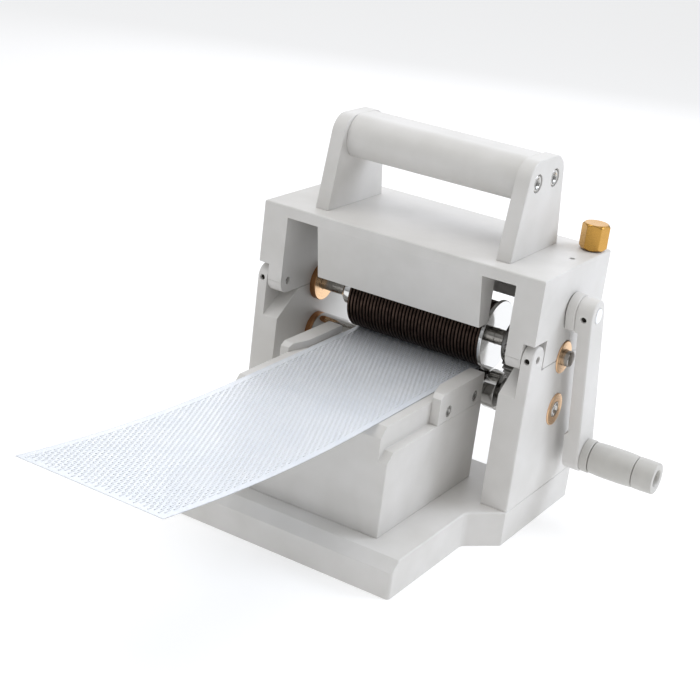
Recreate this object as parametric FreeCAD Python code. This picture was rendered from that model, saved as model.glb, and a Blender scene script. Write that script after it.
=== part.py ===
import FreeCAD, Part
import math
import os

# Hand-cranked tabletop roller press. Millimetres, +Z up, +Y towards the exit side, crank on +X.
# The origin is on the underside of the base, straight below the rollers' axes, at mid width.

os.makedirs("parts", exist_ok=True)

Vector = FreeCAD.Vector

# ---- driving dimensions ------------------------------------------------------------------------
# frame
half_width = 82.0
wall_thickness = 15.0
wall_inner = half_width - wall_thickness
wall_front = -40.0
wall_rear = 40.0
base_top = 19.0
base_front = -128.0
base_chamfer_depth = 6.0
base_chamfer_height = 5.0
flare_corner_radius = 6.0
notch_corner_radius = 4.0
edge_break = 0.7

# rollers: the upper one presses the sheet on the lower one
lower_radius = 10.6
upper_radius = 17.6
nip_gap = 0.8
lower_z = 64.4
upper_z = lower_z + lower_radius + nip_gap + upper_radius
roller_left = -38.0
roller_right = 42.0
shaft_radius = 4.2
running_gap = 0.05
body_gap = 0.3
ring_pitch = 2.0
ring_groove = 0.9

# guide disc on the end of the upper roller, which runs in a groove of the lower one
disc_radius = 19.2
disc_left = 42.0
disc_right = 44.0
disc_side_gap = 0.5
disc_groove_radius = upper_z - lower_z - disc_radius - 0.5
collar_radius = 7.8
collar_left = -48.0
lower_roller_left = -63.0
lower_roller_right = 51.5

# spur gears, module 1: the crank's pinion drives the upper roller's gear, and that the lower one's
module = 1.0
gear_teeth = 36
lower_gear_teeth = 22
pinion_teeth = 17
gear_left = 56.5
gear_right = 62.5
gear_hub_left = 52.0
gear_hub_radius = 12.0
lower_hub_left = 53.0
lower_hub_radius = 9.3
backlash = 0.30
tooth_angle = 20.0
addendum = 0.9
dedendum = 1.15
crank_z = upper_z + module * (gear_teeth + pinion_teeth) / 2.0

# bronze bushes
bush_radius = 8.6
bush_flange_radius = 10.5
bush_flange_left = 63.5
bush_proud = 0.6

# head
head_top = 143.0
plate_bottom = 136.7
seam_z = upper_z
apron_half = 48.3
apron_bottom = 107.8
apron_lean = 6.0
apron_rear = -24.0
rear_apron_front = 30.0
rear_apron_bottom = 106.0
head_edge = 0.9

# hinge of the head, in ears on the walls
pin_y = -33.0
pin_z = 100.5
ear_radius = pin_y - wall_front
ear_inner = 76.0
pin_radius = 2.0
tongue_outer = ear_inner - body_gap
notch_rear = pin_y + ear_radius + 0.7
notch_top = 109.0
pocket_front_z = 80.0
pocket_rear_y = -21.5

# notch in the rear of the base, where the sheet drops after the rollers
notch_half = 60.0
base_notch_front = 5.0

# feed table and rails
table_half = 48.0
table_front = -111.5
table_rear = -15.5
table_top = lower_z + lower_radius - 0.2
ledge_z = 63.0
ledge_inner = 43.0
table_chamfer = 5.0
rail_top = 79.0
rail_lip = 39.3
rail_front = -63.5
rail_rear = -17.0
rail_lead = 17.0
rail_screw_y = (-53.0, -24.5)
rail_screw_z = 68.0
rail_screw_radius = 1.5
rail_screw_reach = 8.0
rail_seat_radius = 3.0
rail_seat_depth = 3.2

# carrier sheet
sheet_half = 38.0
sheet_thickness = 0.6
sheet_bottom = lower_z + lower_radius + 0.1
sheet_rear = 35.0
sheet_front = -270.0
sheet_bend_y = -118.0
sheet_rise = 11.0

# carry handle
handle_y = -2.0
upright_outer = 57.5
upright_inner = 49.5
upright_foot_half = 27.5
upright_top_half = 18.5
handle_top = 192.3
handle_corner = 11.0
bar_height = 23.0
bar_half_depth = 17.0
handle_screw_pitch = 19.7
handle_seat_depth = 5.0
handle_seat_radius = 4.75
handle_screw_radius = 2.5
handle_screw_reach = 10.0
foot_screw_pitch = 28.0
foot_screw_radius = 2.0
foot_screw_reach = 11.0
foot_seat_radius = 3.5
foot_seat_depth = 4.2

# crank
crank_radius = 85.0
crank_angle = 13.0
pad_left = half_width + 0.4
pad_radius = 9.0
arm_left = 87.4
arm_right = 96.4
arm_hub_radius = 8.0
arm_end_radius = 9.5
pad_flat = 7.2
arm_relief = 2.0
relief_top_drop = 8.2
relief_end_rise = 15.0
crank_shaft_radius = 4.0
pinion_shaft_radius = 3.0
grip_radius = 8.9
grip_axle_radius = 3.0
grip_recess_radius = 4.0
grip_recess_depth = 2.0
grip_cap_floor = 5.0
crank_bush_radius = 7.0
crank_bush_flange = 9.0
plug_seat_depth = 0.8
plug_proud = 0.5
collar_end = 101.0
barrel_end = 125.6
cap_end = 137.0

# clamp knobs, which set how far the head closes
knob_x = 75.0
knob_y = 31.0
knob_shank_radius = 4.0
knob_across_flats = 12.8
knob_bottom = 143.6
knob_top = 157.3
knob_chamfer = 1.3
knob_cap = 5.0
top_screw_x = 74.5
top_screw_y = 7.0
top_screw_depth = 6.0
set_screw_radius = 1.5


# ---- helpers -----------------------------------------------------------------------------------
def box(x0, x1, y0, y1, z0, z1):
    return Part.makeBox(x1 - x0, y1 - y0, z1 - z0, Vector(x0, y0, z0))


def rod_x(radius, x0, x1, y, z):
    return Part.makeCylinder(radius, x1 - x0, Vector(x0, y, z), Vector(1, 0, 0))


def rod_y(radius, y0, y1, x, z):
    return Part.makeCylinder(radius, y1 - y0, Vector(x, y0, z), Vector(0, 1, 0))


def rod_z(radius, z0, z1, x, y):
    return Part.makeCylinder(radius, z1 - z0, Vector(x, y, z0), Vector(0, 0, 1))


def prism_x(points, x0, x1):
    """Solid from a closed outline of (y, z) points, between two x planes."""
    wire = Part.makePolygon([Vector(x0, y, z) for y, z in points + points[:1]])
    return Part.Face(wire).extrude(Vector(x1 - x0, 0, 0))


def prism_z(points, z0, z1):
    """Solid from a closed outline of (x, y) points, between two z planes."""
    wire = Part.makePolygon([Vector(x, y, z0) for x, y in points + points[:1]])
    return Part.Face(wire).extrude(Vector(0, 0, z1 - z0))


def mirrored(shape):
    return shape.mirror(Vector(0, 0, 0), Vector(1, 0, 0))


def edges_where(shape, test):
    return [edge for edge in shape.Edges if test(edge.BoundBox)]


def near(a, b):
    return abs(a - b) < 0.01


def hex_prism_x(across_flats, x0, x1, y, z):
    corner = across_flats / math.sqrt(3.0)
    angles = [math.radians(60 * i) for i in range(6)]
    return prism_x([(y + corner * math.cos(a), z + corner * math.sin(a)) for a in angles], x0, x1)


def socket_screw(head_radius, head_length, shank_radius, length, tip, towards_head):
    """Cap screw with a hexagon socket; tip is the shank's end, towards_head its direction."""
    shape = rod_x(shank_radius, 0, length + 0.5, 0, 0)
    head = rod_x(head_radius, length, length + head_length, 0, 0)
    rim = edges_where(head, lambda b: near(b.XMin, length + head_length) and near(b.XMax, b.XMin))
    head = head.makeChamfer(0.3, rim)
    shape = shape.fuse(head)
    socket = hex_prism_x(head_radius * 0.86, length + head_length * 0.45, length + head_length + 1, 0, 0)
    shape = shape.cut(socket)
    turn = FreeCAD.Rotation(Vector(1, 0, 0), towards_head)
    shape.Placement = FreeCAD.Placement(tip, turn)
    return shape


def set_screw(radius, length, tip, towards_head):
    shape = rod_x(radius, 0, length, 0, 0)
    shape = shape.cut(hex_prism_x(radius, length * 0.5, length + 1, 0, 0))
    shape.Placement = FreeCAD.Placement(tip, FreeCAD.Rotation(Vector(1, 0, 0), towards_head))
    return shape


def save(name, *shapes):
    shape = shapes[0] if len(shapes) == 1 else Part.makeCompound(list(shapes))
    for solid in shape.Solids:
        if not solid.isValid():
            print("invalid solid in", name)
    shape.exportStep("parts/" + name + ".step")


# ---- frame -------------------------------------------------------------------------------------
pad_places = [(-55.0, -112.0), (55.0, -112.0), (-71.0, 30.0), (71.0, 30.0)]
pad_disc_radius = 8.0
pad_thickness = 1.5
base_screw_radius = 2.5
base_screw_head = 4.25
base_head_length = 4.8
wall_screw_places = [(x, y) for x in (-74.5, 74.5) for y in (-26.0, 14.0)]
table_screw_places = [(x, y) for x in (-28.0, 28.0) for y in (-92.0, -36.0)]
base_screw_places = wall_screw_places + table_screw_places
base_screw_head_z = 6.0
base_screw_tip_z = 31.0


def base_plate():
    right = [(wall_inner, base_front), (wall_inner, wall_front - wall_thickness),
             (half_width, wall_front), (half_width, wall_rear)]
    left = [(-x, y) for x, y in reversed(right)]
    plate = prism_z(right + left, 0, base_top)
    flare = edges_where(plate, lambda b: near(abs(b.XMin), wall_inner) and near(b.XMin, b.XMax)
                        and near(b.YMin, b.YMax) and b.YMin > base_front + 1)
    plate = plate.makeFillet(flare_corner_radius, flare)
    front = edges_where(plate, lambda b: near(b.YMin, base_front) and near(b.XMin, b.XMax)
                        and near(b.YMin, b.YMax))
    plate = plate.makeFillet(2.0, front)
    rim = edges_where(plate, lambda b: near(b.ZMin, base_top) and near(b.ZMax, base_top))
    plate = plate.makeChamfer(edge_break, rim)
    slope = base_chamfer_height / base_chamfer_depth
    wedge = [(base_front - 1, base_top - base_chamfer_height - slope),
             (base_front + base_chamfer_depth + 1, base_top + slope),
             (base_front - 1, base_top + slope)]
    plate = plate.cut(prism_x(wedge, -half_width, half_width))
    notch = box(-notch_half, notch_half, base_notch_front, wall_rear + 1, -1, base_top + 1)
    corners = edges_where(notch, lambda b: near(b.YMin, base_notch_front) and near(b.YMax, b.YMin)
                          and near(b.XMin, b.XMax))
    plate = plate.cut(notch.makeFillet(notch_corner_radius, corners))
    for x, y in pad_places:
        plate = plate.cut(rod_z(pad_disc_radius, -1, pad_thickness, x, y))
    for x, y in base_screw_places:
        plate = plate.cut(rod_z(base_screw_radius, -1, base_top + 1, x, y))
        plate = plate.cut(rod_z(base_screw_head, -1, base_screw_head_z, x, y))
    return plate


def screw_holes(shape, places):
    for x, y in places:
        shape = shape.cut(rod_z(base_screw_radius, base_top - 1, base_screw_tip_z, x, y))
    return shape


def base_screws():
    screws = []
    for x, y in base_screw_places:
        length = base_screw_tip_z - base_screw_head_z
        tip = Vector(x, y, base_screw_tip_z)
        screws.append(socket_screw(base_screw_head, base_head_length, base_screw_radius, length, tip,
                                   Vector(0, 0, -1)))
    return screws


def rubber_pads():
    return [rod_z(pad_disc_radius, 0, pad_thickness, x, y) for x, y in pad_places]


def ear_outline():
    """Face of the outer part of a wall, with the ear's round top about the hinge pin."""
    front = Vector(wall_inner, wall_front, pin_z)
    points = [(wall_front, base_top), (wall_rear, base_top), (wall_rear, seam_z),
              (pin_y + ear_radius, seam_z), (pin_y + ear_radius, pin_z)]
    corners = [Vector(wall_inner, y, z) for y, z in points]
    top = Part.Arc(corners[-1], Vector(wall_inner, pin_y, pin_z + ear_radius), front).toShape()
    straight = Part.makePolygon(corners).Edges
    closing = Part.makeLine(front, corners[0])
    return Part.Face(Part.Wire(straight + [top, closing]))


def right_wall():
    outer = ear_outline().extrude(Vector(half_width - ear_inner, 0, 0))
    outer.translate(Vector(ear_inner - wall_inner, 0, 0))
    inner = prism_x([(wall_front, base_top), (wall_rear, base_top), (wall_rear, seam_z),
                     (pocket_rear_y, seam_z), (wall_front, pocket_front_z)], wall_inner, ear_inner)
    wall = outer.fuse(inner).removeSplitter()
    corners = edges_where(wall, lambda b: near(b.XMin, b.XMax) and near(b.YMin, b.YMax)
                          and near(b.XMin, half_width) and b.ZLength > 40)
    wall = wall.makeFillet(1.0, corners)
    wall = wall.cut(rod_x(bush_radius, wall_inner - 1, half_width + 1, 0, upper_z))
    wall = wall.cut(rod_x(bush_radius, wall_inner - 1, half_width + 1, 0, lower_z))
    wall = wall.cut(rod_x(pin_radius, wall_inner - 1, half_width + 1, pin_y, pin_z))
    ear_middle = (ear_inner + half_width) / 2
    wall = wall.cut(rod_y(set_screw_radius, wall_front - 1, pin_y - pin_radius + 0.2, ear_middle, pin_z))
    return screw_holes(wall, [place for place in wall_screw_places if place[0] > 0])


def hinge_pin(side):
    pin = rod_x(pin_radius, wall_inner + 0.8, half_width - 1.2, pin_y, pin_z)
    ends = edges_where(pin, lambda b: near(b.XMin, b.XMax))
    pin = pin.makeChamfer(0.4, ends)
    return pin if side > 0 else mirrored(pin)


def ear_set_screw(side):
    x = side * (ear_inner + half_width) / 2
    return set_screw(set_screw_radius, 3.4, Vector(x, pin_y - pin_radius, pin_z), Vector(0, -1, 0))


def flanged_bush(z, side, bore):
    bush = rod_x(bush_radius, wall_inner - 0.5, half_width + bush_proud, 0, z)
    flange = rod_x(bush_flange_radius, bush_flange_left, wall_inner, 0, z)
    bush = bush.fuse(flange)
    bush = bush.cut(rod_x(bore, bush_flange_left - 1, half_width + 2, 0, z)).removeSplitter()
    rims = edges_where(bush, lambda b: near(b.XMin, b.XMax) and b.YLength > bush_radius * 1.9
                       and (near(b.XMin, bush_flange_left) or near(b.XMin, half_width + bush_proud)))
    bush = bush.makeChamfer(0.4, rims)
    return bush if side > 0 else mirrored(bush)


def feed_table():
    block = box(-table_half, table_half, table_front, table_rear, base_top, ledge_z)
    block = block.fuse(box(-ledge_inner, ledge_inner, table_front, table_rear, ledge_z - 1, table_top))
    block = block.removeSplitter()
    for z, reach in ((ledge_z, table_half), (table_top, ledge_inner)):
        low = z - table_chamfer
        wedge = [(table_front - 1, low - 1), (table_front + table_chamfer + 1, z + 1),
                 (table_front - 1, z + 1)]
        cut_left = prism_x(wedge, -reach - 1, -ledge_inner if reach > ledge_inner else 0)
        block = block.cut(cut_left).cut(mirrored(cut_left))
    sides = edges_where(block, lambda b: near(b.XMin, b.XMax) and near(b.YMin, b.YMax)
                        and near(abs(b.XMin), table_half))
    block = block.makeFillet(0.8, sides)
    for side in (-1, 1):
        for y in rail_screw_y:
            deep = ledge_inner - rail_screw_reach - 1
            hole = rod_x(rail_screw_radius, deep, ledge_inner + 1, y, rail_screw_z)
            block = block.cut(hole if side > 0 else mirrored(hole))
    return screw_holes(block, table_screw_places)


def right_rail():
    leg = box(ledge_inner, table_half, rail_front, rail_rear, ledge_z, rail_top)
    lip = box(rail_lip, ledge_inner + 1, rail_front, rail_rear, table_top, rail_top)
    rail = leg.fuse(lip).removeSplitter()
    lead = prism_z([(rail_lip - 1, rail_front - 1), (ledge_inner + 0.2, rail_front - 1),
                    (rail_lip - 1, rail_front + rail_lead)], table_top - 1, rail_top + 1)
    rail = rail.cut(lead)
    slope = prism_x([(rail_front - 1, rail_top - 2.5), (rail_front + 5, rail_top + 1),
                     (rail_front - 1, rail_top + 1)], rail_lip - 1, table_half + 1)
    rail = rail.cut(slope)
    for y in rail_screw_y:
        seat = table_half - rail_seat_depth
        rail = rail.cut(rod_x(rail_screw_radius, ledge_inner - 1, table_half + 1, y, rail_screw_z))
        rail = rail.cut(rod_x(rail_seat_radius, seat, table_half + 1, y, rail_screw_z))
    return rail


def rail_screws():
    screws = []
    length = table_half - rail_seat_depth - ledge_inner + rail_screw_reach
    for side in (-1, 1):
        for y in rail_screw_y:
            tip = Vector(side * (ledge_inner - rail_screw_reach), y, rail_screw_z)
            screws.append(socket_screw(2.75, 2.8, rail_screw_radius, length, tip, Vector(side, 0, 0)))
    return screws


# ---- head --------------------------------------------------------------------------------------
def cheek_inner_outline():
    """Face of the inner part of the right cheek, whose front lower corner turns about the pin."""
    radius = ear_radius - 0.2
    x = wall_inner
    low = Vector(x, pin_y, pin_z - radius)
    corners = [low, Vector(x, wall_rear, pin_z - radius), Vector(x, wall_rear, head_top),
               Vector(x, wall_front, head_top), Vector(x, wall_front, pin_z),
               Vector(x, pin_y - radius, pin_z)]
    diagonal = radius * math.sqrt(0.5)
    middle = Vector(x, pin_y - diagonal, pin_z - diagonal)
    nose = Part.Arc(corners[-1], middle, low).toShape()
    return Part.Face(Part.Wire(Part.makePolygon(corners).Edges + [nose]))


def right_cheek():
    inner = cheek_inner_outline().extrude(Vector(tongue_outer - wall_inner, 0, 0))
    low = pin_z - ear_radius + 0.2
    outer = prism_x([(wall_front, head_top), (wall_rear, head_top), (wall_rear, low), (notch_rear, low),
                     (notch_rear, notch_top), (wall_front, notch_top)], tongue_outer, half_width)
    return inner.fuse(outer)


def head():
    cheek = right_cheek()
    plate = box(-wall_inner - 1, wall_inner + 1, wall_front, wall_rear, plate_bottom, head_top)
    apron = prism_x([(wall_front, plate_bottom), (wall_front + apron_lean, apron_bottom),
                     (apron_rear, apron_bottom), (apron_rear, plate_bottom)], -apron_half, apron_half)
    rear_apron = box(-wall_inner, wall_inner, rear_apron_front, wall_rear, rear_apron_bottom, plate_bottom)
    body = cheek.fuse([mirrored(cheek), plate, apron, rear_apron]).removeSplitter()
    top = edges_where(body, lambda b: near(b.ZMin, head_top) and near(b.ZMax, head_top))
    body = body.makeFillet(head_edge, top)
    for side in (-1, 1):
        shank_hole = knob_shank_radius + running_gap
        body = body.cut(rod_z(shank_hole, seam_z - 5, head_top + 1, side * knob_x, knob_y))
        screw_floor = head_top - top_screw_depth
        body = body.cut(rod_z(set_screw_radius, screw_floor, head_top + 1, side * top_screw_x, top_screw_y))
    seat = rod_x(bush_radius + body_gap, wall_inner - 1, half_width + 1, 0, upper_z)
    pin_hole = rod_x(pin_radius + running_gap, wall_inner - 1, tongue_outer + 1, pin_y, pin_z)
    body = body.cut(seat).cut(mirrored(seat)).cut(pin_hole).cut(mirrored(pin_hole))
    body = body.cut(rod_x(crank_bush_radius, wall_inner - 1, half_width + 1, 0, crank_z))
    for side in (-1, 1):
        for y in (handle_y - foot_screw_pitch / 2, handle_y + foot_screw_pitch / 2):
            x = side * (upright_inner + upright_outer) / 2
            body = body.cut(rod_z(foot_screw_radius, plate_bottom - 1, head_top + 1, x, y))
            body = body.cut(rod_z(foot_seat_radius, plate_bottom - 1, plate_bottom + foot_seat_depth, x, y))
    return body


def top_set_screw(side):
    tip = Vector(side * top_screw_x, top_screw_y, head_top - top_screw_depth)
    return set_screw(set_screw_radius, 4.2, tip, Vector(0, 0, 1))


def right_upright():
    outline = [(handle_y - upright_foot_half, head_top), (handle_y + upright_foot_half, head_top),
               (handle_y + upright_top_half, handle_top), (handle_y - upright_top_half, handle_top)]
    plate = prism_x(outline, upright_inner, upright_outer)
    corners = edges_where(plate, lambda b: near(b.ZMin, handle_top) and near(b.YMin, b.YMax))
    plate = plate.makeFillet(handle_corner, corners)
    rim = edges_where(plate, lambda b: near(b.XMin, upright_outer) and near(b.XMax, upright_outer)
                      and b.ZMax > head_top + 1)
    plate = plate.makeFillet(0.9, rim)
    z = handle_top - bar_height / 2
    for y in (handle_y - handle_screw_pitch / 2, handle_y + handle_screw_pitch / 2):
        seat = upright_outer - handle_seat_depth
        plate = plate.cut(rod_x(handle_screw_radius, upright_inner - 1, upright_outer + 1, y, z))
        plate = plate.cut(rod_x(handle_seat_radius, seat, upright_outer + 1, y, z))
    for y in (handle_y - foot_screw_pitch / 2, handle_y + foot_screw_pitch / 2):
        middle = (upright_inner + upright_outer) / 2
        plate = plate.cut(rod_z(foot_screw_radius, head_top - 1, head_top + foot_screw_reach + 1, middle, y))
    return plate


def handle_bar():
    bar = box(-upright_inner, upright_inner, handle_y - bar_half_depth, handle_y + bar_half_depth,
              handle_top - bar_height, handle_top)
    long_edges = edges_where(bar, lambda b: b.XLength > 50)
    bar = bar.makeFillet(handle_corner, long_edges)
    z = handle_top - bar_height / 2
    for side in (-1, 1):
        for y in (handle_y - handle_screw_pitch / 2, handle_y + handle_screw_pitch / 2):
            hole = rod_x(handle_screw_radius, upright_inner - handle_screw_reach, upright_inner + 1, y, z)
            bar = bar.cut(hole if side > 0 else mirrored(hole))
    return bar


def handle_screws():
    screws = []
    z = handle_top - bar_height / 2
    seat = upright_outer - handle_seat_depth
    for side in (-1, 1):
        for y in (handle_y - handle_screw_pitch / 2, handle_y + handle_screw_pitch / 2):
            tip = Vector(side * (upright_inner - handle_screw_reach), y, z)
            length = seat - upright_inner + handle_screw_reach
            screws.append(socket_screw(4.25, 4.6, handle_screw_radius, length, tip, Vector(side, 0, 0)))
    return screws


def foot_screws():
    screws = []
    seat = plate_bottom + foot_seat_depth
    for side in (-1, 1):
        for y in (handle_y - foot_screw_pitch / 2, handle_y + foot_screw_pitch / 2):
            tip = Vector(side * (upright_inner + upright_outer) / 2, y, head_top + foot_screw_reach)
            screws.append(socket_screw(foot_seat_radius, 4.0, foot_screw_radius, tip.z - seat, tip,
                                       Vector(0, 0, -1)))
    return screws


def crank_bush():
    bush = rod_x(crank_bush_radius, wall_inner - 2, half_width, 0, crank_z)
    bush = bush.fuse(rod_x(crank_bush_flange, wall_inner - 2, wall_inner, 0, crank_z))
    return bush.cut(rod_x(crank_shaft_radius + running_gap, wall_inner - 3, half_width + 1, 0, crank_z))


# ---- rollers and gears -------------------------------------------------------------------------
def spur_gear(teeth, bore, x0, x1, z, tooth_up):
    """Spur gear with straight-flanked teeth; tooth_up puts a tooth, or else a gap, at the top."""
    pitch = module * teeth / 2.0
    outer = pitch + addendum * module
    root = pitch - dedendum * module
    flank = math.tan(math.radians(tooth_angle))
    step = 2 * math.pi / teeth
    half_pitch = (math.pi * module / 2 - backlash) / pitch / 2
    half_root = half_pitch + flank * (pitch - root) / pitch
    half_tip = half_pitch - flank * (outer - pitch) / pitch
    start = math.pi / 2 if tooth_up else math.pi / 2 + step / 2
    points = []
    for i in range(teeth):
        centre = start + i * step
        for offset, radius in ((-half_root, root), (-half_pitch, pitch), (-half_tip, outer),
                               (half_tip, outer), (half_pitch, pitch), (half_root, root)):
            points.append((radius * math.cos(centre + offset), z + radius * math.sin(centre + offset)))
    gear = prism_x(points, x0, x1)
    return gear.cut(rod_x(bore, x0 - 1, x1 + 1, 0, z))


def ringed_roller():
    """Roller whose surface is cut into narrow rings, turned as one outline."""
    depth = 0.8
    rings = int((roller_right - roller_left) / ring_pitch)
    outline = [(roller_left, 0.0)]
    for i in range(rings):
        start = roller_left + i * ring_pitch
        end = start + ring_pitch - ring_groove
        outline += [(start, upper_radius), (end, upper_radius)]
        if i < rings - 1:
            outline += [(end + 0.15, upper_radius - depth),
                        (start + ring_pitch - 0.15, upper_radius - depth)]
    outline += [(roller_right, upper_radius - depth), (roller_right, 0.0)]
    wire = Part.makePolygon([Vector(x, 0, r) for x, r in outline + outline[:1]])
    roller = Part.Face(wire).revolve(Vector(0, 0, 0), Vector(1, 0, 0), 360)
    roller.translate(Vector(0, 0, upper_z))
    return roller.cut(rod_x(shaft_radius, roller_left - 1, roller_right + 1, 0, upper_z))


def upper_shaft():
    shaft = rod_x(shaft_radius, -half_width - bush_proud, half_width + 4.5, 0, upper_z)
    return shaft.makeChamfer(0.6, edges_where(shaft, lambda b: near(b.XMin, b.XMax)))


def guide_disc():
    disc = rod_x(disc_radius, disc_left, disc_right, 0, upper_z)
    disc = disc.makeChamfer(0.4, edges_where(disc, lambda b: near(b.XMin, b.XMax)))
    return disc.cut(rod_x(shaft_radius, disc_left - 1, disc_right + 1, 0, upper_z))


def left_collar():
    ring = rod_x(collar_radius, collar_left, roller_left, 0, upper_z)
    ring = ring.makeChamfer(1.0, edges_where(ring, lambda b: near(b.XMin, collar_left)))
    return ring.cut(rod_x(shaft_radius, collar_left - 1, roller_left + 1, 0, upper_z))


def hub(radius, left, z):
    ring = rod_x(radius, left, gear_left + 1, 0, z)
    return ring.makeChamfer(0.6, edges_where(ring, lambda b: near(b.XMax, left)))


def roller_gear():
    gear = spur_gear(gear_teeth, shaft_radius, gear_left, gear_right, upper_z, True)
    gear = gear.fuse(hub(gear_hub_radius, gear_hub_left, upper_z))
    return gear.cut(rod_x(shaft_radius, gear_hub_left - 1, gear_right + 1, 0, upper_z))


def lower_gear():
    gear = spur_gear(lower_gear_teeth, shaft_radius, gear_left, gear_right, lower_z, False)
    gear = gear.fuse(hub(lower_hub_radius, lower_hub_left, lower_z))
    return gear.cut(rod_x(shaft_radius, lower_hub_left - 1, gear_right + 1, 0, lower_z))


def lower_roller():
    roller = rod_x(lower_radius, lower_roller_left, lower_roller_right, 0, lower_z)
    roller = roller.makeChamfer(0.5, edges_where(roller, lambda b: near(b.XMin, b.XMax)))
    groove = rod_x(lower_radius + 1, disc_left - disc_side_gap, disc_right + disc_side_gap, 0, lower_z)
    groove = groove.cut(rod_x(disc_groove_radius, disc_left - 2, disc_right + 2, 0, lower_z))
    roller = roller.cut(groove)
    return roller.cut(rod_x(shaft_radius, lower_roller_left - 1, lower_roller_right + 1, 0, lower_z))


def lower_shaft():
    shaft = rod_x(shaft_radius, -half_width - bush_proud, half_width + bush_proud, 0, lower_z)
    shaft = shaft.makeChamfer(0.4, edges_where(shaft, lambda b: near(b.XMin, b.XMax)))
    return shaft.cut(hex_prism_x(4.0, half_width - 3, half_width + 2, 0, lower_z))


# ---- crank -------------------------------------------------------------------------------------
def crank_shaft():
    shaft = rod_x(crank_shaft_radius, gear_right + 0.1, arm_right - plug_seat_depth, 0, crank_z)
    return shaft.fuse(rod_x(pinion_shaft_radius, gear_left - 2.5, gear_right + 1, 0, crank_z))


def shaft_clip():
    ring = rod_x(4.4, gear_left - 1.0, gear_left, 0, crank_z)
    return ring.cut(rod_x(pinion_shaft_radius, gear_left - 2, gear_left + 1, 0, crank_z))


def tilted(shape):
    """Turn a crank piece, drawn hanging straight down, to its rest angle about the crank's axis."""
    turned = shape.copy()
    turned.rotate(Vector(0, 0, crank_z), Vector(1, 0, 0), crank_angle)
    return turned


def hub_pad():
    pad = rod_x(pad_radius, pad_left, arm_left, 0, crank_z)
    pad = pad.fuse(box(pad_left, arm_left, -pad_radius, pad_radius, crank_z - pad_flat, crank_z))
    below = box(pad_left - 1, arm_left + 1, -pad_radius - 1, pad_radius + 1,
                crank_z - 2 * pad_radius, crank_z - pad_flat)
    pad = pad.removeSplitter().cut(below)
    return tilted(pad.cut(rod_x(crank_shaft_radius, pad_left - 1, arm_left + 1, 0, crank_z)))


def crank_arm():
    lean = math.asin((arm_end_radius - arm_hub_radius) / crank_radius)
    end_z = crank_z - crank_radius
    hub_y = arm_hub_radius * math.cos(lean)
    end_y = arm_end_radius * math.cos(lean)
    hub_up = arm_hub_radius * math.sin(lean)
    end_up = arm_end_radius * math.sin(lean)
    bar = prism_x([(-end_y, end_z + end_up), (end_y, end_z + end_up), (hub_y, crank_z + hub_up),
                   (-hub_y, crank_z + hub_up)], arm_left, arm_right)
    arm = bar.fuse([rod_x(arm_hub_radius, arm_left, arm_right, 0, crank_z),
                    rod_x(arm_end_radius, arm_left, arm_right, 0, end_z)]).removeSplitter()
    rim = edges_where(arm, lambda b: near(b.XMin, arm_right) and near(b.XMax, arm_right))
    arm = arm.makeFillet(1.0, rim)
    relief_top = crank_z - relief_top_drop
    relief_bottom = end_z + relief_end_rise
    relief = [(arm_left - 1, relief_top), (arm_left + arm_relief, relief_top),
              (arm_left + arm_relief, relief_bottom + arm_relief), (arm_left - 1, relief_bottom - 1)]
    wire = Part.makePolygon([Vector(x, -20, z) for x, z in relief + relief[:1]])
    arm = arm.cut(Part.Face(wire).extrude(Vector(0, 40, 0)))
    arm = arm.cut(rod_x(crank_shaft_radius, arm_left - 1, arm_right + 1, 0, crank_z))
    arm = arm.cut(rod_y(set_screw_radius, -arm_hub_radius - 2, 0, (arm_left + arm_right) / 2, crank_z))
    arm = arm.cut(rod_x(grip_axle_radius, arm_left - 1, arm_right + 1, 0, end_z))
    return tilted(arm)


def crank_set_screw():
    tip = Vector((arm_left + arm_right) / 2, -crank_shaft_radius, crank_z)
    return tilted(set_screw(set_screw_radius, 3.0, tip, Vector(0, -1, 0)))


def hub_plug():
    face = arm_right + plug_proud
    plug = rod_x(crank_shaft_radius, arm_right - plug_seat_depth, face, 0, crank_z)
    return plug.makeChamfer(0.3, edges_where(plug, lambda b: near(b.XMin, face)))


def grip_ring(x0, x1, bore, rounded_edges):
    z = crank_z - crank_radius
    ring = rod_x(grip_radius, x0, x1, 0, z)
    ring = ring.makeFillet(0.5, edges_where(ring, rounded_edges))
    return tilted(ring.cut(rod_x(bore, x0 - 1, x1 + 1, 0, z)))


def grip_cap():
    z = crank_z - crank_radius
    start = barrel_end + body_gap
    cap = rod_x(grip_radius, start, cap_end, 0, z)
    cap = cap.makeFillet(1.6, edges_where(cap, lambda b: near(b.XMin, cap_end)))
    cap = cap.cut(rod_x(grip_recess_radius, cap_end - grip_recess_depth, cap_end + 1, 0, z))
    return tilted(cap.cut(rod_x(grip_axle_radius, start - 1, cap_end - grip_cap_floor, 0, z)))


def grip_axle():
    z = crank_z - crank_radius
    return tilted(rod_x(grip_axle_radius, arm_left + 1.0, cap_end - grip_cap_floor, 0, z))


# ---- clamp knobs and carrier sheet --------------------------------------------------------------
def knob(side):
    corner = knob_across_flats / math.sqrt(3.0)
    angles = [math.radians(60 * i + 15) for i in range(6)]
    body = prism_z([(corner * math.cos(a), corner * math.sin(a)) for a in angles], knob_bottom, knob_top)
    envelope = rod_z(corner, knob_bottom, knob_top, 0, 0)
    rims = edges_where(envelope, lambda b: near(b.ZMin, b.ZMax))
    body = body.common(envelope.makeChamfer(knob_chamfer, rims))
    body = body.cut(rod_z(knob_shank_radius, knob_bottom - 1, knob_top - knob_cap, 0, 0))
    body.translate(Vector(side * knob_x, knob_y, 0))
    return body


def knob_shank(side):
    return rod_z(knob_shank_radius, seam_z + body_gap, knob_top - knob_cap, side * knob_x, knob_y)


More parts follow.
